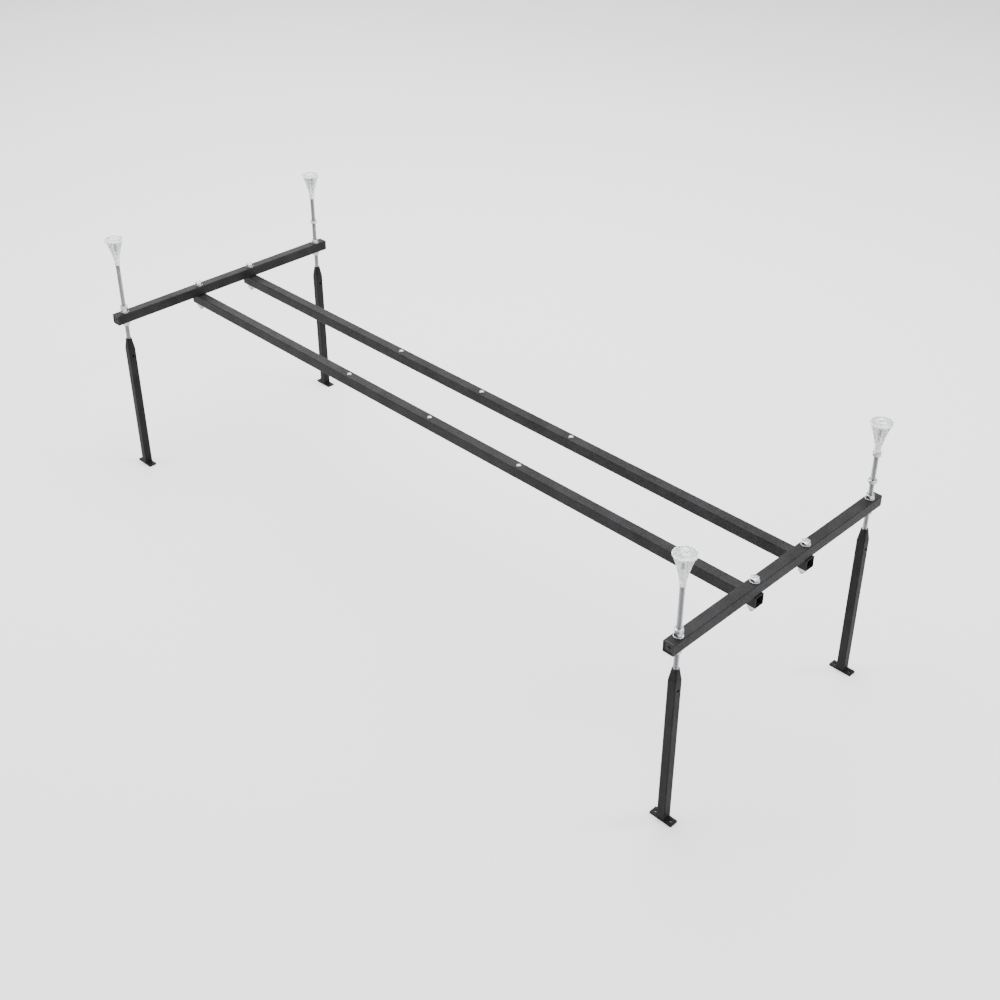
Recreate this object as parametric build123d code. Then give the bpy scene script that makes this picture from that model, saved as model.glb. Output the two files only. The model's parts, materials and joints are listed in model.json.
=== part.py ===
from build123d import *
import math
import os

# Adjustable support frame for a bathtub, in millimetres.
# Origin on the floor under the middle of the frame. +X runs along the two rails, to the right.
# +Y runs along the crossbars, to the back. +Z is up.

# ---- driving dimensions ----
CROSSBAR_SPACING = 1400.0      # between the centre lines of the two crossbars
RAIL_SPACING = 128.0           # between the centre lines of the two rails
STUD_SPACING = 478.0           # between the two studs of one crossbar
CROSSBAR_UNDERSIDE = 332.0     # height of the joint face between rails and crossbars

TUBE = 20.0                    # rail and crossbar profile, square
TUBE_WALL = 1.5
TUBE_CORNER = 1.8
RAIL_LENGTH = 1424.0
CROSSBAR_LENGTH = 516.0

LEG_TUBE = 15.0                # leg profile, square
LEG_WALL = 1.5
LEG_CORNER = 1.6
LEG_TOP = 294.0                # height of the swaged top end of a leg
SWAGE_HEIGHT = 21.0
SWAGE_SIZE = 10.5
SWAGE_CORNER = 4.0
SWAGE_BORE = 8.8
SWAGE_BORE_CORNER = 4.2
LEG_HOLE_DROP = 38.0           # tommy-bar hole, below the top end of the leg
LEG_HOLE_R = 2.5
INSERT_LENGTH = 12.0           # threaded insert just below the swage
INSERT_FIT = 0.05              # gap between the insert and the tube wall, each side

FOOT_LENGTH = 42.0
FOOT_WIDTH = 16.0
FOOT_THICKNESS = 3.0
FOOT_HOLE_SPACING = 29.0
FOOT_HOLE_R = 2.25
WELD_LEG = 2.6

THREAD_R = 4.0                 # M8
THREAD_FIT = 0.05              # radial clearance in nuts, inserts and cones
CLEARANCE_R = 4.5              # drilled holes for M8
NUT_FLATS = 13.0
NUT_HEIGHT = 6.5
WASHER_R = 8.0
WASHER_BORE_R = 4.2
WASHER_THICKNESS = 1.6
BOLT_HEAD_HEIGHT = 5.3
BOLT_LENGTH = 55.0

STUD_LENGTH = 280.0
STUD_CHAMFER = 0.8
CONE_HEIGHT = 54.0
CONE_TOP_R = 18.5
CONE_DISC = 2.6
CONE_NECK_R = 5.4
CONE_SLEEVE = 31.0
CONE_BORE_DEPTH = 28.0
CONE_FIN = 1.6
CONE_FIN_PLATES = 4
CONE_UNDERSIDE_RIGHT = 107.0   # above the crossbar underside
CONE_UNDERSIDE_LEFT = 122.0

SCREW_PITCH = 220.0            # between the tub screws of one rail
SCREW_HEAD_R = 4.6
SCREW_HEAD_HEIGHT = 3.0
SCREW_SHANK_R = 1.9
SCREW_LENGTH = 16.0
SCREW_POINT = 4.0

PLUG_FLANGE = 3.0
PLUG_SPIGOT = 12.0
PLUG_SPIGOT_WALL = 1.4
PLUG_FIT = 0.1

# ---- places worked out from them ----
CROSSBAR_TOP = CROSSBAR_UNDERSIDE + TUBE
RAIL_UNDERSIDE = CROSSBAR_UNDERSIDE - TUBE
HALF_X = CROSSBAR_SPACING / 2
HALF_RAIL = RAIL_SPACING / 2
HALF_STUD = STUD_SPACING / 2
SWAGE_BASE = LEG_TOP - SWAGE_HEIGHT
TOP_NUT_Z = CROSSBAR_TOP + WASHER_THICKNESS
BOTTOM_NUT_Z = CROSSBAR_UNDERSIDE - WASHER_THICKNESS - NUT_HEIGHT
STACKED_NUT_Z = TOP_NUT_Z + NUT_HEIGHT

# The corners of the frame: side, row, and where the lock nut stands on its stud.
CORNERS = {
    "front_left": (-1, -1, STACKED_NUT_Z),
    "front_right": (1, -1, STACKED_NUT_Z),
    "back_left": (-1, 1, CROSSBAR_UNDERSIDE + 66.0),
    "back_right": (1, 1, CROSSBAR_UNDERSIDE + 50.0),
}


def place(shape, x=0.0, y=0.0, z=0.0):
    return Pos(x, y, z) * shape


def upright_hole(radius, z_low, z_high):
    """A round cutter along Z."""
    height = z_high - z_low
    return Pos(0, 0, z_low + height / 2) * Cylinder(radius, height)


def square_bar(size, wall, corner, length, direction):
    """A rounded square tube, centred on the origin, along X, Y or Z."""
    plane = {"X": Plane.YZ, "Y": Plane.XZ, "Z": Plane.XY}[direction]
    outer = RectangleRounded(size, size, corner)
    inner = RectangleRounded(size - 2 * wall, size - 2 * wall, max(corner - wall, 0.3))
    return extrude(plane * (outer - inner), amount=length / 2, both=True)


def rail():
    """Lower tube along X, with bolt holes near its ends and screw holes in its top wall."""
    bar = square_bar(TUBE, TUBE_WALL, TUBE_CORNER, RAIL_LENGTH, "X")
    for x in (-HALF_X, HALF_X):
        bar -= place(upright_hole(CLEARANCE_R, -TUBE, TUBE), x)
    for x in screw_places():
        bar -= place(upright_hole(SCREW_SHANK_R, 0, TUBE), x)
    return bar


def screw_places():
    return [step * SCREW_PITCH for step in (-1, 0, 1)]


def crossbar():
    """Upper tube along Y, drilled through for two joint bolts and two studs."""
    bar = square_bar(TUBE, TUBE_WALL, TUBE_CORNER, CROSSBAR_LENGTH, "Y")
    for y in (-HALF_STUD, -HALF_RAIL, HALF_RAIL, HALF_STUD):
        bar -= place(upright_hole(CLEARANCE_R, -TUBE, TUBE), 0, y)
    return bar


def end_plug(row):
    """Plastic plug in a crossbar end: a cushioned flange outside and a hollow spigot inside."""
    flange = extrude(Plane.XZ * RectangleRounded(TUBE, TUBE, TUBE_CORNER), amount=-PLUG_FLANGE)
    outer_face = flange.faces().sort_by(Axis.Y)[-1]
    flange = fillet(outer_face.edges(), PLUG_FLANGE * 0.5)
    spigot_size = TUBE - 2 * TUBE_WALL - 2 * PLUG_FIT
    ring = RectangleRounded(spigot_size, spigot_size, 0.6)
    ring -= RectangleRounded(
        spigot_size - 2 * PLUG_SPIGOT_WALL, spigot_size - 2 * PLUG_SPIGOT_WALL, 0.4
    )
    plug = flange + extrude(Plane.XZ * ring, amount=PLUG_SPIGOT)
    plug = place(plug, 0, CROSSBAR_LENGTH / 2)
    return plug if row > 0 else plug.rotate(Axis.Z, 180)


def hexagon(height):
    """A hexagonal prism on z = 0 with its corners turned off top and bottom."""
    corner_r = NUT_FLATS / 2 / math.cos(math.radians(30))
    prism = extrude(RegularPolygon(corner_r, 6), amount=height)
    turned = Pos(0, 0, height / 2) * Cylinder(corner_r, height)
    turned = chamfer(turned.edges().filter_by(GeomType.CIRCLE), 0.55, 0.95)
    return prism & turned


def hex_nut():
    return hexagon(NUT_HEIGHT) - upright_hole(THREAD_R + THREAD_FIT, -1, NUT_HEIGHT + 1)


def washer():
    height = WASHER_THICKNESS
    return upright_hole(WASHER_R, 0, height) - upright_hole(WASHER_BORE_R, -1, height + 1)


def threaded_bar(length):
    """A plain bar of the thread's outer diameter, chamfered at both ends, standing on z = 0."""
    bar = upright_hole(THREAD_R, 0, length)
    return chamfer(bar.edges().filter_by(GeomType.CIRCLE), STUD_CHAMFER)


def joint_bolt():
    """Hexagon head on z = 0, shank hanging below it."""
    shank = upright_hole(THREAD_R, -BOLT_LENGTH, 0)
    tip = shank.edges().filter_by(GeomType.CIRCLE).sort_by(Axis.Z)[0]
    return hexagon(BOLT_HEAD_HEIGHT) + chamfer(tip, STUD_CHAMFER)


def tub_screw():
    """Pan-head screw, head resting on z = 0, point down."""
    with BuildPart() as screw:
        with BuildSketch(Plane.XZ):
            with BuildLine():
                Line((0, -SCREW_LENGTH), (SCREW_SHANK_R, -SCREW_LENGTH + SCREW_POINT))
                Line((SCREW_SHANK_R, -SCREW_LENGTH + SCREW_POINT), (SCREW_SHANK_R, 0))
                Line((SCREW_SHANK_R, 0), (SCREW_HEAD_R, 0))
                Line((SCREW_HEAD_R, 0), (SCREW_HEAD_R, 0.8))
                ThreePointArc(
                    (SCREW_HEAD_R, 0.8),
                    (SCREW_HEAD_R * 0.66, SCREW_HEAD_HEIGHT * 0.82),
                    (0, SCREW_HEAD_HEIGHT),
                )
                Line((0, SCREW_HEAD_HEIGHT), (0, -SCREW_LENGTH))
            make_face()
        revolve(axis=Axis.Z)
        with BuildSketch(Plane.XY.offset(SCREW_HEAD_HEIGHT - 1.2)):
            Rectangle(4.4, 0.9)
            Rectangle(0.9, 4.4)
        extrude(amount=3, mode=Mode.SUBTRACT)
    return screw.part


def rest_cone():
    """Plastic rest on a stud: a sleeve, crossed fins that widen upwards and a flat round top."""
    fin_outline = Plane.XZ * make_face(
        Curve()
        + [
            Line((0, 0), (CONE_NECK_R, 0)),
            Line((CONE_NECK_R, 0), (CONE_NECK_R, 8)),
            Spline(
                [(CONE_NECK_R, 8), (CONE_TOP_R * 0.55, 30), (CONE_TOP_R - 0.6, CONE_HEIGHT - 2)],
                tangents=[(0.12, 1), (0.5, 1)],
            ),
            Line((CONE_TOP_R - 0.6, CONE_HEIGHT - 2), (0, CONE_HEIGHT - 2)),
            Line((0, CONE_HEIGHT - 2), (0, 0)),
        ]
    )
    cone = upright_hole(CONE_NECK_R, 0, CONE_SLEEVE)
    fin = extrude(fin_outline, amount=CONE_FIN / 2, both=True)
    for index in range(2 * CONE_FIN_PLATES):
        cone += fin.rotate(Axis.Z, index * 180 / CONE_FIN_PLATES)
    disc = upright_hole(CONE_TOP_R, CONE_HEIGHT - CONE_DISC, CONE_HEIGHT)
    cone += fillet(disc.edges().filter_by(GeomType.CIRCLE), 0.9)
    return cone - upright_hole(THREAD_R + THREAD_FIT, -1, CONE_BORE_DEPTH)


def leg_tube():
    """Square leg, swaged to a blunt pyramid at the top, with a cross hole below the insert."""
    bottom = FOOT_THICKNESS
    outer = Pos(0, 0, bottom) * RectangleRounded(LEG_TUBE, LEG_TUBE, LEG_CORNER)
    body = extrude(outer, amount=SWAGE_BASE - bottom)
    body += loft(
        [
            Pos(0, 0, SWAGE_BASE) * RectangleRounded(LEG_TUBE, LEG_TUBE, LEG_CORNER),
            Pos(0, 0, LEG_TOP) * RectangleRounded(SWAGE_SIZE, SWAGE_SIZE, SWAGE_CORNER),
        ]
    )
    inside = LEG_TUBE - 2 * LEG_WALL
    bore = extrude(
        Pos(0, 0, bottom) * RectangleRounded(inside, inside, 0.4), amount=SWAGE_BASE - bottom
    )
    bore += loft(
        [
            Pos(0, 0, SWAGE_BASE) * RectangleRounded(inside, inside, 0.4),
            Pos(0, 0, LEG_TOP) * RectangleRounded(SWAGE_BORE, SWAGE_BORE, SWAGE_BORE_CORNER),
        ]
    )
    cross_hole = Pos(0, 0, LEG_TOP - LEG_HOLE_DROP) * Rot(0, 90, 0)
    cross_hole *= Cylinder(LEG_HOLE_R, LEG_TUBE + 2)
    return body - bore - cross_hole


def leg_insert():
    """Square threaded insert fixed in the leg just below the swage."""
    size = LEG_TUBE - 2 * LEG_WALL - 2 * INSERT_FIT
    base = SWAGE_BASE - INSERT_LENGTH
    block = extrude(Pos(0, 0, base) * RectangleRounded(size, size, 0.5), amount=INSERT_LENGTH)
    return block - upright_hole(THREAD_R + THREAD_FIT, base - 1, SWAGE_BASE + 1)


def foot_plate():
    """Flat plate under the leg with one screw hole at each end."""
    plate = extrude(RectangleRounded(FOOT_LENGTH, FOOT_WIDTH, 1.2), amount=FOOT_THICKNESS)
    plate = chamfer(plate.faces().sort_by(Axis.Z)[-1].edges(), 0.3)
    for x in (-FOOT_HOLE_SPACING / 2, FOOT_HOLE_SPACING / 2):
        plate -= place(upright_hole(FOOT_HOLE_R, -1, FOOT_THICKNESS + 1), x)
    return plate


def foot_weld():
    """Fillet weld in the corner between the leg and its plate, on the +X side of the leg."""
    x = LEG_TUBE / 2
    z = FOOT_THICKNESS
    bulge = WELD_LEG * 0.62
    outline = make_face(
        Curve()
        + [
            Line((x, z), (x + WELD_LEG, z)),
            ThreePointArc((x + WELD_LEG, z), (x + bulge, z + bulge), (x, z + WELD_LEG)),
            Line((x, z + WELD_LEG), (x, z)),
        ]
    )
    return extrude(Plane.XZ * outline, amount=(LEG_TUBE - 2 * LEG_CORNER) / 2, both=True)


def cone_underside(side):
    lift = CONE_UNDERSIDE_RIGHT if side > 0 else CONE_UNDERSIDE_LEFT
    return CROSSBAR_UNDERSIDE + lift


def save(name, *shapes):
    shape = shapes[0] if len(shapes) == 1 else Compound(children=list(shapes))
    shape.label = name
    export_step(shape, f"parts/{name}.step")


def save_frame():
    """Rails, crossbars and the fasteners that stay with them."""
    rail_z = RAIL_UNDERSIDE + TUBE / 2
    save("front_rail", place(rail(), 0, -HALF_RAIL, rail_z))
    save("back_rail", place(rail(), 0, HALF_RAIL, rail_z))
    crossbar_z = CROSSBAR_UNDERSIDE + TUBE / 2
    save("left_crossbar", place(crossbar(), -HALF_X, 0, crossbar_z))
    save("right_crossbar", place(crossbar(), HALF_X, 0, crossbar_z))
    for corner, (side, row, _) in CORNERS.items():
        save(f"{corner}_end_plug", place(end_plug(row), side * HALF_X, 0, crossbar_z))

    crossings = [(x, y) for x in (-HALF_X, HALF_X) for y in (-HALF_RAIL, HALF_RAIL)]
    under_rail = RAIL_UNDERSIDE - WASHER_THICKNESS
    save("joint_bolts", *[place(joint_bolt(), x, y, TOP_NUT_Z) for x, y in crossings])
    save("joint_nuts", *[place(hex_nut(), x, y, under_rail - NUT_HEIGHT) for x, y in crossings])
    save(
        "joint_washers",
        *[place(washer(), x, y, z) for x, y in crossings for z in (CROSSBAR_TOP, under_rail)],
    )
    save(
        "tub_screws",
        *[
            place(tub_screw(), x, y, CROSSBAR_UNDERSIDE)
            for y in (-HALF_RAIL, HALF_RAIL)
            for x in screw_places()
        ],
    )
    below = CROSSBAR_UNDERSIDE - WASHER_THICKNESS
    save(
        "clamp_washers",
        *[
            place(washer(), side * HALF_X, row * HALF_STUD, z)
            for side, row, _ in CORNERS.values()
            for z in (CROSSBAR_TOP, below)
        ],
    )


def save_corner(corner, side, row, lock_nut_z):
    """One stud with its nuts and cone, and the leg that screws onto its lower end."""
    x = side * HALF_X
    y = row * HALF_STUD
    cone_z = cone_underside(side)
    stud_z = cone_z + CONE_BORE_DEPTH - STUD_LENGTH
    save(f"{corner}_stud", place(threaded_bar(STUD_LENGTH), x, y, stud_z))
    save(f"{corner}_rest_cone", place(rest_cone(), x, y, cone_z))
    save(f"{corner}_top_nut", place(hex_nut(), x, y, TOP_NUT_Z))
    save(f"{corner}_bottom_nut", place(hex_nut(), x, y, BOTTOM_NUT_Z))
    save(f"{corner}_lock_nut", place(hex_nut().rotate(Axis.Z, 18), x, y, lock_nut_z))
    if corner == "back_right":
        save(f"{corner}_cone_nut", place(hex_nut(), x, y, cone_z - NUT_HEIGHT))
    save(f"{corner}_leg_tube", place(leg_tube(), x, y))
    save(f"{corner}_leg_insert", place(leg_insert(), x, y))
    save(f"{corner}_foot_plate", place(foot_plate(), x, y))
    welds = [foot_weld(), foot_weld().rotate(Axis.Z, 180)]
    save(f"{corner}_foot_welds", *[place(weld, x, y) for weld in welds])


os.makedirs("parts", exist_ok=True)
save_frame()
for corner_name, (corner_side, corner_row, nut_z) in CORNERS.items():
    save_corner(corner_name, corner_side, corner_row, nut_z)
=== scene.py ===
"""Looks of an adjustable support frame for a bathtub: black coated square tube, zinc plated studs,
nuts and bolts, and milky plastic rest cones. Metres, in the frame of the CAD model: +X runs along
the two rails, +Y along the crossbars to the back, +Z up, with the floor at z = 0.
"""

import json
import math

import bmesh
import bpy
from mathutils import Matrix, Vector


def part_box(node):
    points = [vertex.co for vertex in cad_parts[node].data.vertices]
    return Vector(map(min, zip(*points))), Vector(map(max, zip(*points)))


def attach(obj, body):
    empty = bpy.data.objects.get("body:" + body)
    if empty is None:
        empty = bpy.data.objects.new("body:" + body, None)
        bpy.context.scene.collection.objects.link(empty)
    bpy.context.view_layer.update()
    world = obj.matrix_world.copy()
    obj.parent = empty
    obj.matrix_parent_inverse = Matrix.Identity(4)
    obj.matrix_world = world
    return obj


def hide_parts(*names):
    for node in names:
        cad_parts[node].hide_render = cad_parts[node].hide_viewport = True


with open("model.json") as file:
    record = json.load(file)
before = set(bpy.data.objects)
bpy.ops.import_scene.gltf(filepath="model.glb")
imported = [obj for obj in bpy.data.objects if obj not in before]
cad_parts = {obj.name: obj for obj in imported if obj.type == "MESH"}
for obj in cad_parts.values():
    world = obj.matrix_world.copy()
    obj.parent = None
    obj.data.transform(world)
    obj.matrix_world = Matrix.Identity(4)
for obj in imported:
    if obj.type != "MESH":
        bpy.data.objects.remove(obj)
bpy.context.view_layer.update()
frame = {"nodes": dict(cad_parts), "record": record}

MM = 0.001
TURN = 2 * math.pi
ORIGIN = Vector((0, 0, 0))
SHARP_ANGLE = math.radians(32)
CORNERS = ("front_left", "front_right", "back_left", "back_right")


# ---------------------------------------------------------------- colours and nodes


def paint(hex_colour):
    """An sRGB hex colour as the linear RGBA that a shader socket takes."""
    channels = [int(hex_colour[i : i + 2], 16) / 255 for i in (1, 3, 5)]
    linear = [c / 12.92 if c <= 0.04045 else ((c + 0.055) / 1.055) ** 2.4 for c in channels]
    return (*linear, 1.0)


def node(tree, kind, inputs=None, **settings):
    """Adds a node, sets its properties, and fills its inputs with values or with other outputs."""
    made = tree.nodes.new(kind)
    for name, value in settings.items():
        setattr(made, name, value)
    for socket, value in (inputs or {}).items():
        if isinstance(value, bpy.types.NodeSocket):
            tree.links.new(value, made.inputs[socket])
        else:
            made.inputs[socket].default_value = value
    return made


def start_material(name):
    """An empty material, and the object coordinates that its patterns are drawn on."""
    material = bpy.data.materials.new(name)
    material.use_nodes = True
    material.node_tree.nodes.clear()
    place = node(material.node_tree, "ShaderNodeTexCoord").outputs["Object"]
    return material, material.node_tree, place


def per_mm(size):
    """The scale of a pattern whose marks are about size millimetres apart."""
    return 1 / (size * MM)


# ---------------------------------------------------------------- materials


def powder_coat(name, low, high, roughness):
    """Black polyester powder baked onto steel. It melts into a satin film with a fine texture of
    small soft bumps, whose crests are painted lighter as painted glints on top of the shading the
    bumps give, and a slow drift where the film is thinner. The real texture is about 1 mm from bump
    to bump, and it is drawn at 2.3 mm so that it shows."""
    material, tree, place = start_material(name)
    specks = node(
        tree,
        "ShaderNodeTexNoise",
        {"Vector": place, "Scale": per_mm(2.3), "Detail": 5.0, "Roughness": 0.8},
    ).outputs["Fac"]
    drift = node(
        tree, "ShaderNodeTexNoise", {"Vector": place, "Scale": per_mm(38), "Detail": 2.0}
    ).outputs["Fac"]
    mixed = node(tree, "ShaderNodeMath", {0: drift, 1: 0.3, 2: specks}, operation="MULTIPLY_ADD")
    share = node(
        tree,
        "ShaderNodeMapRange",
        {"Value": mixed.outputs[0], "From Min": 0.5, "From Max": 0.8},
        interpolation_type="SMOOTHSTEP",
    ).outputs["Result"]
    # Lighter colour where the bumps rise is painted glint on the bump crests; the slow drift is the
    # film's own tone.
    colour = node(tree, "ShaderNodeMix", {0: share, 6: paint(low), 7: paint(high)}, data_type="RGBA")
    rough = node(
        tree,
        "ShaderNodeMapRange",
        {"Value": specks, "To Min": roughness + 0.1, "To Max": roughness - 0.1},
    )
    relief = node(
        tree, "ShaderNodeBump", {"Height": specks, "Distance": 0.24 * MM, "Strength": 0.8}
    )
    shader = node(
        tree,
        "ShaderNodeBsdfPrincipled",
        {
            "Base Color": colour.outputs[2],
            "Roughness": rough.outputs["Result"],
            "Normal": relief.outputs["Normal"],
            "IOR": 1.5,
            "Specular IOR Level": 0.12,
        },
    )
    node(tree, "ShaderNodeOutputMaterial", {"Surface": shader.outputs["BSDF"]})
    return material


def zinc_plate(name, clean, dull, roughness):
    """Bright zinc plating under a thin clear passivate: a mirror gone cloudy, in soft patches
    about 2 mm wide, with the fine grain of the rolled or forged steel below."""
    material, tree, place = start_material(name)
    cloud = node(
        tree, "ShaderNodeTexNoise", {"Vector": place, "Scale": per_mm(1.8), "Detail": 3.0}
    ).outputs["Fac"]
    grain = node(
        tree, "ShaderNodeTexNoise", {"Vector": place, "Scale": per_mm(0.6), "Detail": 2.0}
    ).outputs["Fac"]
    share = node(
        tree,
        "ShaderNodeMapRange",
        {"Value": cloud, "From Min": 0.25, "From Max": 0.75},
        interpolation_type="SMOOTHSTEP",
    ).outputs["Result"]
    colour = node(
        tree, "ShaderNodeMix", {0: share, 6: paint(clean), 7: paint(dull)}, data_type="RGBA"
    )
    rough = node(
        tree,
        "ShaderNodeMapRange",
        {"Value": cloud, "To Min": roughness - 0.12, "To Max": roughness + 0.12},
    )
    relief = node(
        tree, "ShaderNodeBump", {"Height": grain, "Distance": 0.02 * MM, "Strength": 0.5}
    )
    shader = node(
        tree,
        "ShaderNodeBsdfPrincipled",
        {
            "Base Color": colour.outputs[2],
            "Metallic": 1.0,
            "Roughness": rough.outputs["Result"],
            "Normal": relief.outputs["Normal"],
        },
    )
    node(tree, "ShaderNodeOutputMaterial", {"Surface": shader.outputs["BSDF"]})
    return material


def moulded_black(name):
    """Black polyethylene moulded in a spark-eroded tool: matt, with an even fine grain."""
    material, tree, place = start_material(name)
    grain = node(
        tree, "ShaderNodeTexNoise", {"Vector": place, "Scale": per_mm(0.8), "Detail": 2.0}
    ).outputs["Fac"]
    colour = node(
        tree,
        "ShaderNodeMix",
        {0: grain, 6: paint("#060606"), 7: paint("#141415")},
        data_type="RGBA",
    )
    rough = node(
        tree, "ShaderNodeMapRange", {"Value": grain, "To Min": 0.42, "To Max": 0.6}
    )
    relief = node(
        tree, "ShaderNodeBump", {"Height": grain, "Distance": 0.05 * MM, "Strength": 0.6}
    )
    shader = node(
        tree,
        "ShaderNodeBsdfPrincipled",
        {
            "Base Color": colour.outputs[2],
            "Roughness": rough.outputs["Result"],
            "Normal": relief.outputs["Normal"],
            "IOR": 1.51,
            "Specular IOR Level": 0.25,
        },
    )
    node(tree, "ShaderNodeOutputMaterial", {"Surface": shader.outputs["BSDF"]})
    return material


def milky_polythene(name):
    """Unpigmented polyethylene, injection moulded: it lets light through but clouds it, so thin
    fins glow and thick ribs look greyer, under a waxy, softly rippled skin that glints."""
    material, tree, place = start_material(name)
    haze = node(
        tree, "ShaderNodeTexNoise", {"Vector": place, "Scale": per_mm(3.5), "Detail": 2.0}
    ).outputs["Fac"]
    share = node(
        tree,
        "ShaderNodeMapRange",
        {"Value": haze, "From Min": 0.32, "From Max": 0.62},
        interpolation_type="SMOOTHSTEP",
    ).outputs["Result"]
    colour = node(
        tree,
        "ShaderNodeMix",
        {0: share, 6: paint("#bdc0c2"), 7: paint("#f4f6f6")},
        data_type="RGBA",
    )
    rough = node(tree, "ShaderNodeMapRange", {"Value": share, "To Min": 0.12, "To Max": 0.3})
    relief = node(
        tree, "ShaderNodeBump", {"Height": haze, "Distance": 0.4 * MM, "Strength": 0.8}
    )
    shader = node(
        tree,
        "ShaderNodeBsdfPrincipled",
        {
            "Base Color": colour.outputs[2],
            "Roughness": rough.outputs["Result"],
            "Normal": relief.outputs["Normal"],
            "IOR": 1.5,
            "Transmission Weight": 0.12,
        },
    )
    node(tree, "ShaderNodeOutputMaterial", {"Surface": shader.outputs["BSDF"]})
    return material


MATERIALS = {
    "coated_steel_tube": powder_coat("black_powder_coat_on_tube", "#060606", "#232325", 0.55),
    # The legs and their welds wear the same black coat as the tubes; their darker colours are
    # painted shade.
    "coated_steel_leg": powder_coat("black_powder_coat_on_leg_with_painted_shade", "#040404", "#1b1b1d", 0.58),
    "coated_weld": powder_coat("black_powder_coat_on_weld_with_painted_shade", "#050505", "#1c1c1e", 0.45),
    "zinc_stud": zinc_plate("bright_zinc_on_rolled_thread", "#999b9e", "#818487", 0.36),
    "zinc_fasteners": zinc_plate("bright_zinc_on_forged_steel", "#b3b6b8", "#9ea1a3", 0.28),
    "black_plastic": moulded_black("moulded_black_polythene"),
    "clear_plastic": milky_polythene("milky_polythene"),
}

# The material slot and the body of each CAD node, as the record gives them.
SLOTS = {part["node"]: part["material_slot"] for part in frame["record"]["subparts"]}
BODIES = {n: body for body, nodes in frame["record"]["behaviour"]["bodies"].items() for n in nodes}


# ---------------------------------------------------------------- making pieces


def to_mesh(bm, name):
    """A bmesh as a mesh that shades smoothly, with its real edges kept sharp."""
    mesh = bpy.data.meshes.new(name)
    bm.to_mesh(mesh)
    bm.free()
    mesh.shade_smooth()
    mesh.set_sharp_from_angle(angle=SHARP_ANGLE)
    return mesh


def gather(copies):
    """One bmesh holding a copy of each pattern mesh, moved to its place."""
    bm = bmesh.new()
    for pattern, spot in copies:
        moved = pattern.copy()
        moved.transform(Matrix.Translation(spot))
        bm.from_mesh(moved)
        bpy.data.meshes.remove(moved)
    return bm


def stand_in(node_name, name, copies):
    """A finished piece that is shown for a CAD node, and moves and is finished as it is."""
    piece = bpy.data.objects.new(name, to_mesh(gather(copies), name))
    bpy.context.scene.collection.objects.link(piece)
    slot = SLOTS[node_name]
    piece.data.materials.append(MATERIALS[slot])
    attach(piece, BODIES[node_name])
    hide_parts(node_name)
    return piece


def foot_of(node_name):
    """The point at the middle of the underside of a CAD node's box."""
    low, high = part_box(node_name)
    return Vector(((low.x + high.x) / 2, (low.y + high.y) / 2, low.z))


def height_of(node_name):
    """The height of a CAD node's box."""
    low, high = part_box(node_name)
    return high.z - low.z


def turned(outline, steps=48):
    """A body turned about Z from (radius, height) points. An outline that starts on the axis ends
    there too, and any other is closed into a ring."""
    bm = bmesh.new()
    verts = [bm.verts.new((radius, 0, height)) for radius, height in outline]
    edges = [bm.edges.new(pair) for pair in zip(verts, verts[1:])]
    if outline[0][0] > 0:
        edges.append(bm.edges.new((verts[-1], verts[0])))
    bmesh.ops.spin(
        bm,
        geom=verts + edges,
        cent=ORIGIN,
        axis=(0, 0, 1),
        dvec=(0, 0, 0),
        angle=TURN,
        steps=steps,
        use_merge=True,
    )
    bmesh.ops.remove_doubles(bm, verts=bm.verts, dist=0.002 * MM)
    bmesh.ops.recalc_face_normals(bm, faces=bm.faces)
    return bm


def slice_off(bm, point, outward):
    """Cuts a closed bmesh with a plane, drops what lies outward of it and closes the cut."""
    geometry = bm.verts[:] + bm.edges[:] + bm.faces[:]
    cut = bmesh.ops.bisect_plane(
        bm, geom=geometry, plane_co=point, plane_no=outward, clear_outer=True
    )
    rim = [part for part in cut["geom_cut"] if isinstance(part, bmesh.types.BMEdge)]
    bmesh.ops.holes_fill(bm, edges=rim, sides=0)


# ---------------------------------------------------------------- threads

THREAD_R = 4 * MM
THREAD_ROOT_R = THREAD_R - 0.7 * MM
THREAD_PITCH = 1.25 * MM
THREAD_STEPS = 22
END_CHAMFER = 0.9 * MM

# One pitch of the thread: radius, and height as a share of the pitch.
THREAD_OUTLINE = [
    (THREAD_ROOT_R, 0.0),
    (THREAD_ROOT_R, 0.14),
    (THREAD_R, 0.48),
    (THREAD_R, 0.66),
    (THREAD_ROOT_R, 1.0),
]


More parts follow.
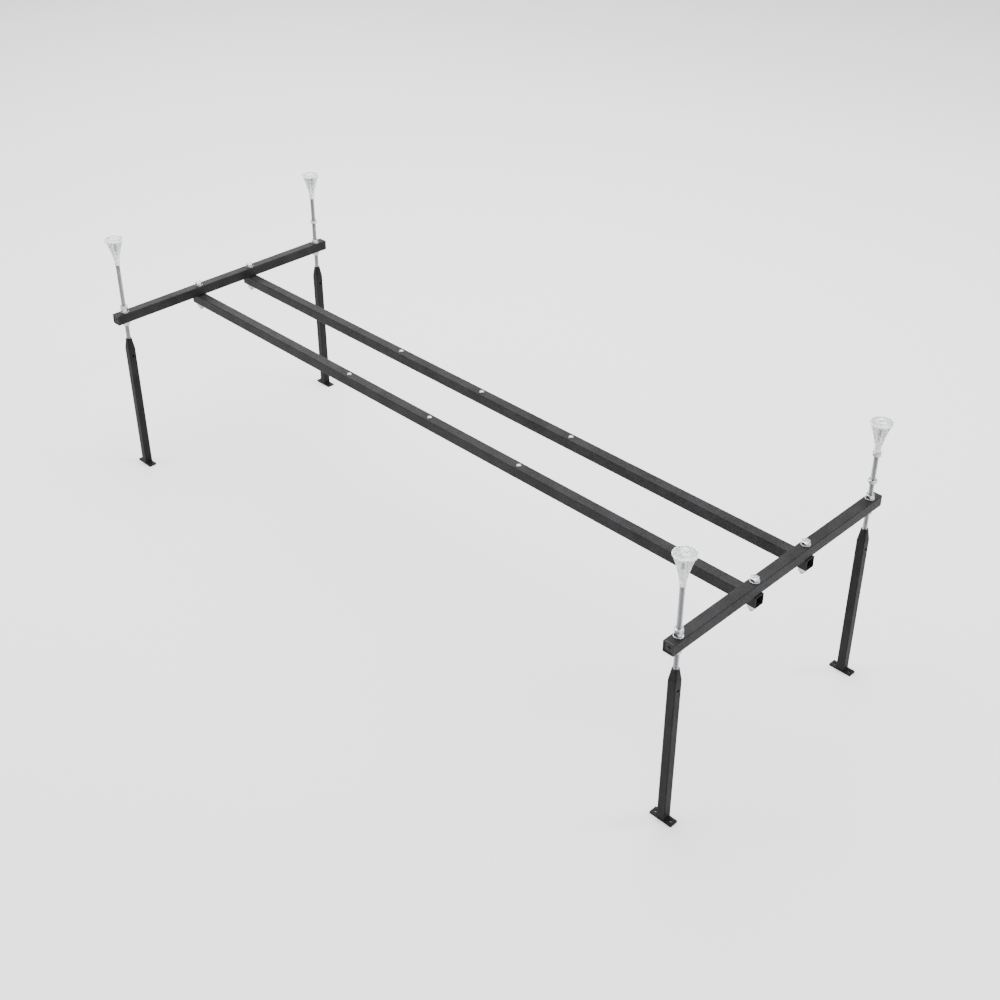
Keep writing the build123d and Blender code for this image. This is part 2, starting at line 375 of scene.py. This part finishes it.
def threaded_bar(length):
    """A closed bar standing on z = 0 with a real right-hand thread. One turn is spun, and copies
    of it are stacked, twice as many each time, until they are long enough to cut."""
    bm = bmesh.new()
    spare_turns = 2
    verts = [
        bm.verts.new((radius, 0, (rise - spare_turns) * THREAD_PITCH))
        for radius, rise in THREAD_OUTLINE
    ]
    edges = [bm.edges.new(pair) for pair in zip(verts, verts[1:])]
    bmesh.ops.spin(
        bm,
        geom=verts + edges,
        cent=ORIGIN,
        axis=(0, 0, 1),
        dvec=(0, 0, THREAD_PITCH / THREAD_STEPS),
        angle=TURN,
        steps=THREAD_STEPS,
    )
    turns = 1
    while turns * THREAD_PITCH < length + 2 * spare_turns * THREAD_PITCH:
        geometry = bm.verts[:] + bm.edges[:] + bm.faces[:]
        copied = bmesh.ops.duplicate(bm, geom=geometry)["geom"]
        upper = [part for part in copied if isinstance(part, bmesh.types.BMVert)]
        bmesh.ops.translate(bm, verts=upper, vec=(0, 0, turns * THREAD_PITCH))
        turns *= 2
    bmesh.ops.remove_doubles(bm, verts=bm.verts, dist=0.01 * MM)
    slice_off(bm, (0, 0, length), (0, 0, 1))
    slice_off(bm, (0, 0, 0), (0, 0, -1))
    for vert in bm.verts:
        inside = max(min(length - vert.co.z, vert.co.z), 0.0)
        limit = THREAD_R - END_CHAMFER + inside
        reach = math.hypot(vert.co.x, vert.co.y)
        if reach > limit:
            vert.co.x *= limit / reach
            vert.co.y *= limit / reach
    bmesh.ops.recalc_face_normals(bm, faces=bm.faces)
    return bm


# ---------------------------------------------------------------- nuts, washers and bolts

FLATS = 13 * MM
CORNER_R = FLATS / math.sqrt(3)
CORNER_BREAK = 0.3 * MM
TOP_CHAMFER = math.radians(30)
NUT_BORE_R = THREAD_R + 0.08 * MM
NUT_MOUTH = 0.55 * MM
NUT_MOUTH_DEPTH = 0.5 * MM
LOCK_NUT_TURN = math.radians(18)
BOLT_HEAD_HEIGHT = 5.3 * MM
DISH_DEPTH = 0.45 * MM
DISH_EDGE_SHARE = 0.72
DISH_FLOOR_SHARE = 0.62
WASHER_R = 8 * MM
WASHER_BORE_R = 4.2 * MM
WASHER_HEIGHT = 1.6 * MM


def mill_hexagon(bm):
    """Cuts six flats on a turned blank and breaks the six corners between them."""
    for index in range(6):
        angle = math.radians(30 + 60 * index)
        outward = Vector((math.cos(angle), math.sin(angle), 0))
        slice_off(bm, outward * FLATS / 2, outward)
    bmesh.ops.dissolve_degenerate(bm, dist=0.005 * MM, edges=bm.edges)
    corners = [
        edge
        for edge in bm.edges
        if edge.calc_length() > 2 * MM
        and abs(edge.verts[0].co.x - edge.verts[1].co.x) < 0.01 * MM
        and abs(edge.verts[0].co.y - edge.verts[1].co.y) < 0.01 * MM
        and math.hypot(edge.verts[0].co.x, edge.verts[0].co.y) > CORNER_R - 0.2 * MM
    ]
    bmesh.ops.bevel(
        bm,
        geom=corners,
        offset=CORNER_BREAK,
        segments=2,
        profile=0.5,
        affect="EDGES",
        material=-1,
        clamp_overlap=True,
    )
    bmesh.ops.recalc_face_normals(bm, faces=bm.faces)


def hex_nut(height):
    """A full nut, chamfered by turning on both faces and countersunk at both ends of its bore."""
    face_r = FLATS / 2 - 0.25 * MM
    slope = (CORNER_R - face_r) * math.tan(TOP_CHAMFER)
    mouth_r = NUT_BORE_R + NUT_MOUTH
    outline = [
        (NUT_BORE_R, NUT_MOUTH_DEPTH),
        (mouth_r, 0),
        (face_r, 0),
        (CORNER_R, slope),
        (CORNER_R, height - slope),
        (face_r, height),
        (mouth_r, height),
        (NUT_BORE_R, height - NUT_MOUTH_DEPTH),
    ]
    bm = turned(outline)
    mill_hexagon(bm)
    return to_mesh(bm, "nut_pattern")


def bolt_head():
    """A forged hexagon head: washer face below, turned chamfer above, and a shallow dish."""
    height = BOLT_HEAD_HEIGHT
    face_r = FLATS / 2 - 0.35 * MM
    slope = (CORNER_R - face_r) * math.tan(TOP_CHAMFER)
    step = 0.3 * MM
    outline = [
        (0, 0),
        (face_r, 0),
        (face_r, step),
        (CORNER_R, step + 0.1 * MM),
        (CORNER_R, height - slope),
        (face_r, height),
        (face_r * DISH_EDGE_SHARE, height),
        (face_r * DISH_FLOOR_SHARE, height - DISH_DEPTH),
        (0, height - DISH_DEPTH),
    ]
    bm = turned(outline)
    mill_hexagon(bm)
    return to_mesh(bm, "bolt_head_pattern")


def flat_washer():
    """A punched washer, with one edge rolled over by the punch and the other broken by tumbling."""
    outline = [
        (WASHER_BORE_R, 0.35 * MM),
        (WASHER_BORE_R + 0.25 * MM, 0),
        (WASHER_R - 0.15 * MM, 0),
        (WASHER_R, 0.15 * MM),
        (WASHER_R, WASHER_HEIGHT - 0.4 * MM),
        (WASHER_R - 0.12 * MM, WASHER_HEIGHT - 0.12 * MM),
        (WASHER_R - 0.4 * MM, WASHER_HEIGHT),
        (WASHER_BORE_R + 0.1 * MM, WASHER_HEIGHT),
        (WASHER_BORE_R, WASHER_HEIGHT - 0.1 * MM),
    ]
    return to_mesh(turned(outline, steps=56), "washer_pattern")


def make_nuts(crossings):
    """Every nut is the same. The lock nuts stand turned against the nuts they lock."""
    nut = hex_nut(height_of("front_left_top_nut"))
    for corner in CORNERS:
        for kind in ("top_nut", "bottom_nut"):
            name = f"{corner}_{kind}"
            stand_in(name, f"{name}_hexagon", [(nut, foot_of(name))])
    name = "back_right_cone_nut"
    stand_in(name, f"{name}_hexagon", [(nut, foot_of(name))])
    base = Vector((0, 0, foot_of("joint_nuts").z))
    stand_in("joint_nuts", "joint_nuts_hexagon", [(nut, spot + base) for spot in crossings])
    lock_nut = nut.copy()
    lock_nut.transform(Matrix.Rotation(LOCK_NUT_TURN, 4, "Z"))
    for corner in CORNERS:
        name = f"{corner}_lock_nut"
        stand_in(name, f"{name}_hexagon", [(lock_nut, foot_of(name))])


def make_washers(crossings):
    """A washer above and one below each crossing, and the same at each stud."""
    washer = flat_washer()
    studs = [foot_of(f"{corner}_stud") for corner in CORNERS]
    for node_name, spots in (("joint_washers", crossings), ("clamp_washers", studs)):
        low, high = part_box(node_name)
        copies = [
            (washer, Vector((spot.x, spot.y, level)))
            for spot in spots
            for level in (low.z, high.z - WASHER_HEIGHT)
        ]
        stand_in(node_name, f"{node_name}_punched", copies)


def make_joint_bolts(crossings):
    """A head and a threaded shank at each crossing. The shank ends a little inside the head."""
    low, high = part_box("joint_bolts")
    head_base = high.z - BOLT_HEAD_HEIGHT
    bite = 0.9 * MM
    head = bolt_head()
    shank = to_mesh(threaded_bar(head_base - low.z + bite), "shank_pattern")
    copies = [(head, spot + Vector((0, 0, head_base))) for spot in crossings]
    copies += [(shank, spot + Vector((0, 0, low.z))) for spot in crossings]
    stand_in("joint_bolts", "joint_bolts_threaded", copies)


def make_fasteners():
    """All nuts, washers and joint bolts, at the places of their CAD nodes."""
    crossings = [
        Vector((foot_of(bar).x, foot_of(rail).y, 0))
        for bar in ("left_crossbar", "right_crossbar")
        for rail in ("front_rail", "back_rail")
    ]
    make_nuts(crossings)
    make_washers(crossings)
    make_joint_bolts(crossings)


def make_studs():
    """The four studs are alike, so one is cut and copied."""
    stud = to_mesh(threaded_bar(height_of("front_left_stud")), "stud_pattern")
    for corner in CORNERS:
        name = f"{corner}_stud"
        stand_in(name, f"{name}_threaded", [(stud, foot_of(name))])


# ---------------------------------------------------------------- rest cones

CONE_TOP_R = 18.5 * MM
CONE_NECK_R = 5.4 * MM
CONE_FLARE = 1.37
CONE_BORE_R = 4.1 * MM
CONE_BORE_TOP = 28 * MM
SLEEVE_TOP = 34 * MM
FIN_THICKNESS = 1.4 * MM
FIN_STRAIGHT = 8 * MM
FIN_PLATES = 4
FIN_STEPS = 14
FIN_SOFTENING = 0.3 * MM
FIN_TOP_GAP = 1.6 * MM
FIN_INSET = 0.8 * MM
DISC_THICKNESS = 1.2 * MM
POCKET_DEPTH = 1.9 * MM
HUB_R = 6.2 * MM
HUB_WALL = 1.5 * MM
TOP_RIBS = 20
RIB_WIDTH = 0.9 * MM
RIB_SOFTENING = 0.22 * MM
RIM_WIDTH = 2 * MM
RIM_HEIGHT = 2.6 * MM
RIM_WAVES = 20
STEPS_PER_WAVE = 6
RIM_WAVE_SHARE = 0.05


def trumpet(share):
    """Radius of the fins' outer edge, from the neck (share 0) to the top (share 1)."""
    return CONE_NECK_R + (CONE_TOP_R - FIN_INSET - CONE_NECK_R) * share**CONE_FLARE


def fin_plate(height):
    """One plate across the cone: two opposite fins in one, with softened edges."""
    bm = bmesh.new()
    rise = height - FIN_TOP_GAP - FIN_STRAIGHT
    right = [(CONE_NECK_R, 0.4 * MM), (CONE_NECK_R, FIN_STRAIGHT)]
    right += [
        (trumpet(step / FIN_STEPS), FIN_STRAIGHT + rise * step / FIN_STEPS)
        for step in range(1, FIN_STEPS + 1)
    ]
    left = [(-x, z) for x, z in reversed(right)]
    face = bm.faces.new([bm.verts.new((x, -FIN_THICKNESS / 2, z)) for x, z in right + left])
    grown = bmesh.ops.extrude_face_region(bm, geom=[face])["geom"]
    moved = [part for part in grown if isinstance(part, bmesh.types.BMVert)]
    bmesh.ops.translate(bm, verts=moved, vec=(0, FIN_THICKNESS, 0))
    bmesh.ops.recalc_face_normals(bm, faces=bm.faces)
    rims = [e for e in bm.edges if abs(e.verts[0].co.y - e.verts[1].co.y) < 0.01 * MM]
    bmesh.ops.bevel(
        bm,
        geom=rims,
        offset=FIN_SOFTENING,
        segments=2,
        profile=0.5,
        affect="EDGES",
        material=-1,
    )
    return to_mesh(bm, "fin_pattern")


def top_rib(height):
    """A low rib on the round top, from the hub to the rim, lying along +X."""
    bm = bmesh.new()
    bmesh.ops.create_cube(bm, size=1)
    inner = HUB_R - 1 * MM
    length = CONE_TOP_R - 1.8 * MM - inner
    bmesh.ops.scale(bm, verts=bm.verts, vec=(length, RIB_WIDTH, RIM_HEIGHT))
    bmesh.ops.translate(bm, verts=bm.verts, vec=(inner + length / 2, 0, height - RIM_HEIGHT / 2))
    edges = [e for e in bm.edges if min(v.co.z for v in e.verts) > height - 0.1 * MM]
    bmesh.ops.bevel(
        bm,
        geom=edges,
        offset=RIB_SOFTENING,
        segments=2,
        profile=0.5,
        affect="EDGES",
        material=-1,
    )
    return to_mesh(bm, "rib_pattern")


def fluted_rim(height):
    """The rim of the round top: a bead whose outside is drawn in between its flutes."""
    base = height - RIM_HEIGHT
    inner = CONE_TOP_R - RIM_WIDTH
    outline = [
        (inner, base + 0.2 * MM),
        (inner + 0.3 * MM, base),
        (CONE_TOP_R - 0.6 * MM, base),
        (CONE_TOP_R, base + 0.7 * MM),
        (CONE_TOP_R, height - 0.6 * MM),
        (CONE_TOP_R - 0.5 * MM, height),
        (inner + 0.3 * MM, height),
        (inner, height - 0.3 * MM),
    ]
    bm = turned(outline, steps=RIM_WAVES * STEPS_PER_WAVE)
    for vert in bm.verts:
        reach = math.hypot(vert.co.x, vert.co.y)
        if reach > CONE_TOP_R - 0.9 * MM:
            wave = (1 - math.cos(RIM_WAVES * math.atan2(vert.co.y, vert.co.x))) / 2
            vert.co.x *= 1 - RIM_WAVE_SHARE * wave
            vert.co.y *= 1 - RIM_WAVE_SHARE * wave
    return to_mesh(bm, "rim_pattern")


def joined(base, added, removed):
    """The mesh of base with the added shells melted into it and the removed one taken out."""
    scratch = [bpy.data.objects.new("scratch", mesh) for mesh in (base, added, removed)]
    for helper in scratch:
        bpy.context.scene.collection.objects.link(helper)
    for operation, helper in (("UNION", scratch[1]), ("DIFFERENCE", scratch[2])):
        modifier = scratch[0].modifiers.new(operation, "BOOLEAN")
        modifier.operation = operation
        modifier.solver = "EXACT"
        modifier.use_self = operation == "UNION"
        modifier.object = helper
    evaluated = scratch[0].evaluated_get(bpy.context.evaluated_depsgraph_get())
    mesh = bpy.data.meshes.new_from_object(evaluated)
    for helper in scratch:
        bpy.data.objects.remove(helper)
    return mesh


def fanned(pattern, count, step, start=0.0):
    """Copies of a mesh turned about Z by equal steps."""
    copies = []
    for index in range(count):
        copy = pattern.copy()
        copy.transform(Matrix.Rotation(start + step * index, 4, "Z"))
        copies.append(copy)
    return copies


def rest_cone(height):
    """Sleeve, eight fins and a ribbed round top, moulded as one and bored for the stud."""
    sleeve = turned(
        [
            (0, 0),
            (CONE_NECK_R - 0.4 * MM, 0),
            (CONE_NECK_R, 0.4 * MM),
            (CONE_NECK_R, SLEEVE_TOP - 3 * MM),
            (CONE_NECK_R * 0.7, SLEEVE_TOP - 0.6 * MM),
            (0, SLEEVE_TOP),
        ],
        steps=40,
    )
    disc_top = height - POCKET_DEPTH
    disc_base = disc_top - DISC_THICKNESS
    disc_r = CONE_TOP_R - 1.2 * MM
    disc = turned([(0, disc_base), (disc_r, disc_base), (disc_r, disc_top), (0, disc_top)])
    hub_base = height - RIM_HEIGHT
    hub_inner = HUB_R - HUB_WALL
    hub = turned([(hub_inner, hub_base), (HUB_R, hub_base), (HUB_R, height), (hub_inner, height)])
    rib_step = TURN / TOP_RIBS
    shells = [to_mesh(disc, "disc_pattern"), to_mesh(hub, "hub_pattern"), fluted_rim(height)]
    shells += fanned(fin_plate(height), FIN_PLATES, math.pi / FIN_PLATES)
    shells += fanned(top_rib(height), TOP_RIBS, rib_step, rib_step / 2)
    added = to_mesh(gather([(shell, ORIGIN) for shell in shells]), "cone_shells")
    mouth_r = CONE_BORE_R + 0.9 * MM
    bore = turned(
        [
            (0, -1 * MM),
            (mouth_r, -1 * MM),
            (mouth_r, -0.1 * MM),
            (CONE_BORE_R, 0.8 * MM),
            (CONE_BORE_R, CONE_BORE_TOP),
            (0, CONE_BORE_TOP),
        ],
        steps=40,
    )
    return joined(to_mesh(sleeve, "sleeve_pattern"), added, to_mesh(bore, "bore_pattern"))


def make_cones():
    """The four rest cones are alike, so one is moulded and copied."""
    cone = rest_cone(height_of("front_left_rest_cone"))
    for corner in CORNERS:
        name = f"{corner}_rest_cone"
        stand_in(name, f"{name}_moulded", [(cone, foot_of(name))])


# ---------------------------------------------------------------- end plugs and welds

PLUG_HALF = 10 * MM
PLUG_FLANGE = 3 * MM
PLUG_SPIGOT = 12 * MM
PLUG_RECESS = 1.6 * MM
PLUG_CORNER_SHARE = 0.17
BUTTON_R = 3 * MM
WELD_RIPPLES = 9
WELD_ROOT = 0.3 * MM
STEPS_PER_RIPPLE = 4
# Size of a bead against its CAD box: between two ripples, what a ripple adds, and at its ends.
WELD_LOW_SHARE = 0.82
WELD_RIPPLE_SHARE = 0.16
WELD_END_SHARE = 0.45


def rounded_tile(corner_share):
    """One square face in the XZ plane, 2 across, with its four corners rounded off."""
    bm = bmesh.new()
    bmesh.ops.create_grid(bm, x_segments=1, y_segments=1, size=1)
    bmesh.ops.bevel(
        bm,
        geom=bm.verts[:],
        offset=corner_share,
        segments=5,
        profile=0.5,
        affect="VERTICES",
        material=-1,
    )
    bmesh.ops.rotate(bm, verts=bm.verts, cent=ORIGIN, matrix=Matrix.Rotation(math.pi / 2, 3, "X"))
    return bm


def draw_out(bm, stages):
    """Extrudes the one face of a bmesh through (half width, y) stages, closed at both ends."""
    half, level = stages[0]
    face = bm.faces[:][0]
    bmesh.ops.scale(bm, verts=bm.verts, vec=(half, 1, half))
    bmesh.ops.translate(bm, verts=bm.verts, vec=(0, level, 0))
    for next_half, next_level in stages[1:]:
        grown = bmesh.ops.extrude_face_region(bm, geom=[face] + face.edges[:])["geom"]
        face = next(part for part in grown if isinstance(part, bmesh.types.BMFace))
        growth = next_half / half
        bmesh.ops.scale(bm, verts=face.verts[:], vec=(growth, 1, growth))
        bmesh.ops.translate(bm, verts=face.verts[:], vec=(0, next_level - level, 0))
        half, level = next_half, next_level
    bmesh.ops.recalc_face_normals(bm, faces=bm.faces)


def end_plug(toward):
    """A plug whose flange faces toward +Y or -Y: a rounded rim round a sunken face with a gate
    button, and a hollow spigot behind. Its flange's inner face is on y = 0."""
    recess = PLUG_FLANGE - PLUG_RECESS
    grip = PLUG_HALF - 1.7 * MM
    # Half width and y: out from the sunken face, over the rim, down the flange, along the spigot
    # and back inside it.
    stages = [
        (PLUG_HALF - 3.3 * MM, recess),
        (PLUG_HALF - 2.7 * MM, recess + 0.1 * MM),
        (PLUG_HALF - 2.2 * MM, PLUG_FLANGE - 0.1 * MM),
        (PLUG_HALF - 1.8 * MM, PLUG_FLANGE - 0.002 * MM),
        (PLUG_HALF - 1.1 * MM, PLUG_FLANGE - 0.05 * MM),
        (PLUG_HALF - 0.5 * MM, PLUG_FLANGE - 0.3 * MM),
        (PLUG_HALF - 0.12 * MM, PLUG_FLANGE - 0.8 * MM),
        (PLUG_HALF, PLUG_FLANGE - 1.4 * MM),
        (PLUG_HALF, 0),
        (grip, 0),
        (grip, 1 * MM - PLUG_SPIGOT),
        (grip - 0.5 * MM, -PLUG_SPIGOT),
        (grip - 1.4 * MM, -PLUG_SPIGOT),
        (grip - 1.5 * MM, -2 * MM),
    ]
    bm = rounded_tile(PLUG_CORNER_SHARE)
    draw_out(bm, stages)
    body = to_mesh(bm, "plug_body_pattern")
    outline = [
        (0, -0.4 * MM),
        (BUTTON_R, -0.4 * MM),
        (BUTTON_R - 0.2 * MM, 1.1 * MM),
        (BUTTON_R - 0.6 * MM, 1.4 * MM),
        (0, 1.4 * MM),
    ]
    button = to_mesh(turned(outline, steps=24), "button_pattern")
    button.transform(Matrix.Translation((0, recess, 0)) @ Matrix.Rotation(-math.pi / 2, 4, "X"))
    plug = to_mesh(gather([(mesh, ORIGIN) for mesh in (body, button)]), "plug_pattern")
    if toward < 0:
        plug.transform(Matrix.Rotation(math.pi, 4, "Z"))
    return plug


def make_plugs():
    """One plug at each end of both crossbars, with its flange flat against the tube's end."""
    for corner in CORNERS:
        name = f"{corner}_end_plug"
        low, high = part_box(name)
        toward = 1 if high.y > 0 else -1
        seat = (high.y if toward > 0 else low.y) - toward * PLUG_FLANGE
        spot = Vector(((low.x + high.x) / 2, seat, (low.z + high.z) / 2))
        stand_in(name, f"{name}_moulded", [(end_plug(toward), spot)])


def weld_bead(length, leg):
    """A fillet bead along Y on the +X side of a corner at the origin, laid down in ripples."""
    stations = WELD_RIPPLES * STEPS_PER_RIPPLE
    bulge = 0.8
    face_angles = [math.radians(angle) for angle in range(0, 91, 18)]
    outline = [(-WELD_ROOT, -WELD_ROOT), (leg, -WELD_ROOT)]
    outline += [(leg * math.cos(a) ** bulge, leg * math.sin(a) ** bulge) for a in face_angles]
    outline += [(-WELD_ROOT, leg)]
    bm = bmesh.new()
    face = bm.faces.new([bm.verts.new((x, -length / 2, z)) for x, z in outline])
    for _ in range(stations):
        grown = bmesh.ops.extrude_face_region(bm, geom=[face] + face.edges[:])["geom"]
        face = next(part for part in grown if isinstance(part, bmesh.types.BMFace))
        bmesh.ops.translate(bm, verts=face.verts[:], vec=(0, length / stations, 0))
    for vert in bm.verts:
        share = (vert.co.y + length / 2) / length
        ripple = abs(math.sin(math.pi * WELD_RIPPLES * share))
        taper = min(1.0, WELD_END_SHARE + 4 * min(share, 1 - share))
        size = taper * (WELD_LOW_SHARE + WELD_RIPPLE_SHARE * ripple)
        if vert.co.x > 0:
            vert.co.x *= size
        if vert.co.z > 0:
            vert.co.z *= size
    bmesh.ops.recalc_face_normals(bm, faces=bm.faces)
    return to_mesh(bm, "bead_pattern")


def make_welds():
    """Two beads on each foot plate, left and right of the leg."""
    for corner in CORNERS:
        name = f"{corner}_foot_welds"
        low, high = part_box(name)
        leg = high.z - low.z
        bead = weld_bead(high.y - low.y, leg)
        other = bead.copy()
        other.transform(Matrix.Rotation(math.pi, 4, "Z"))
        middle_y = (low.y + high.y) / 2
        right = Vector((high.x - leg, middle_y, low.z))
        left = Vector((low.x + leg, middle_y, low.z))
        stand_in(name, f"{name}_rippled", [(bead, right), (other, left)])


make_studs()
make_fasteners()
make_cones()
make_plugs()
make_welds()

# Every CAD node takes its slot's finish.
for node_name, cad_object in frame["nodes"].items():
    cad_object.data.materials.clear()
    cad_object.data.materials.append(MATERIALS[SLOTS[node_name]])


# ---------------------------------------------------------------- floor, light and camera


FLOOR_HALF = 20


def make_floor():
    """A large plain pale floor, a little darker than white, so that the steel keeps dark sides."""
    bm = bmesh.new()
    bmesh.ops.create_grid(bm, x_segments=1, y_segments=1, size=FLOOR_HALF)
    floor = bpy.data.objects.new("studio_floor", to_mesh(bm, "studio_floor"))
    bpy.context.scene.collection.objects.link(floor)
    material, tree, _ = start_material("pale_matt_floor")
    shader = node(
        tree, "ShaderNodeBsdfPrincipled", {"Base Color": paint("#e2e2e2"), "Roughness": 0.95}
    )
    node(tree, "ShaderNodeOutputMaterial", {"Surface": shader.outputs["BSDF"]})
    floor.data.materials.append(material)


def area_light(name, place, target, size, watts):
    """A soft rectangular lamp that faces its target."""
    light = bpy.data.lights.new(name, "AREA")
    light.shape = "RECTANGLE"
    light.size, light.size_y = size
    light.energy = watts
    lamp = bpy.data.objects.new(name, light)
    bpy.context.scene.collection.objects.link(lamp)
    lamp.location = place
    lamp.rotation_euler = (Vector(target) - Vector(place)).to_track_quat("-Z", "Y").to_euler()


def make_light():
    """A large softbox overhead, and dimmer panels that draw light along the edges of the tubes."""
    world = bpy.data.worlds.new("soft_white_studio")
    bpy.context.scene.world = world
    world.use_nodes = True
    background = world.node_tree.nodes["Background"]
    background.inputs["Color"].default_value = (1, 1, 1, 1)
    background.inputs["Strength"].default_value = 1.4
    area_light("overhead_softbox", (-0.6, 0.6, 3.4), (-0.1, 0.1, 0.2), (3.4, 3.0), 300)
    area_light("left_back_panel", (-3.6, 2.0, 2.0), (-0.6, 0, 0.35), (1.6, 1.4), 36)
    area_light("right_back_panel", (2.8, 2.6, 2.9), (0.7, 0, 0.34), (1.2, 1.0), 95)
    area_light("left_front_panel", (-2.2, -2.2, 2.2), (0.2, 0, 0.3), (1.4, 1.0), 36)


def make_camera():
    """Looking down from the front right, from about two and a half metres away."""
    camera = bpy.data.cameras.new("main_camera")
    camera.sensor_width = 36
    camera.lens = 51.0
    camera.shift_y = -0.07
    camera_object = bpy.data.objects.new("main_camera", camera)
    bpy.context.scene.collection.objects.link(camera_object)
    camera_object.location = (1.603, -1.485, 1.612)
    heading, down = math.radians(45.13), math.radians(31.41)
    camera_object.rotation_euler = (math.pi / 2 - down, 0, heading)
    bpy.context.scene.camera = camera_object


make_floor()
make_light()
make_camera()
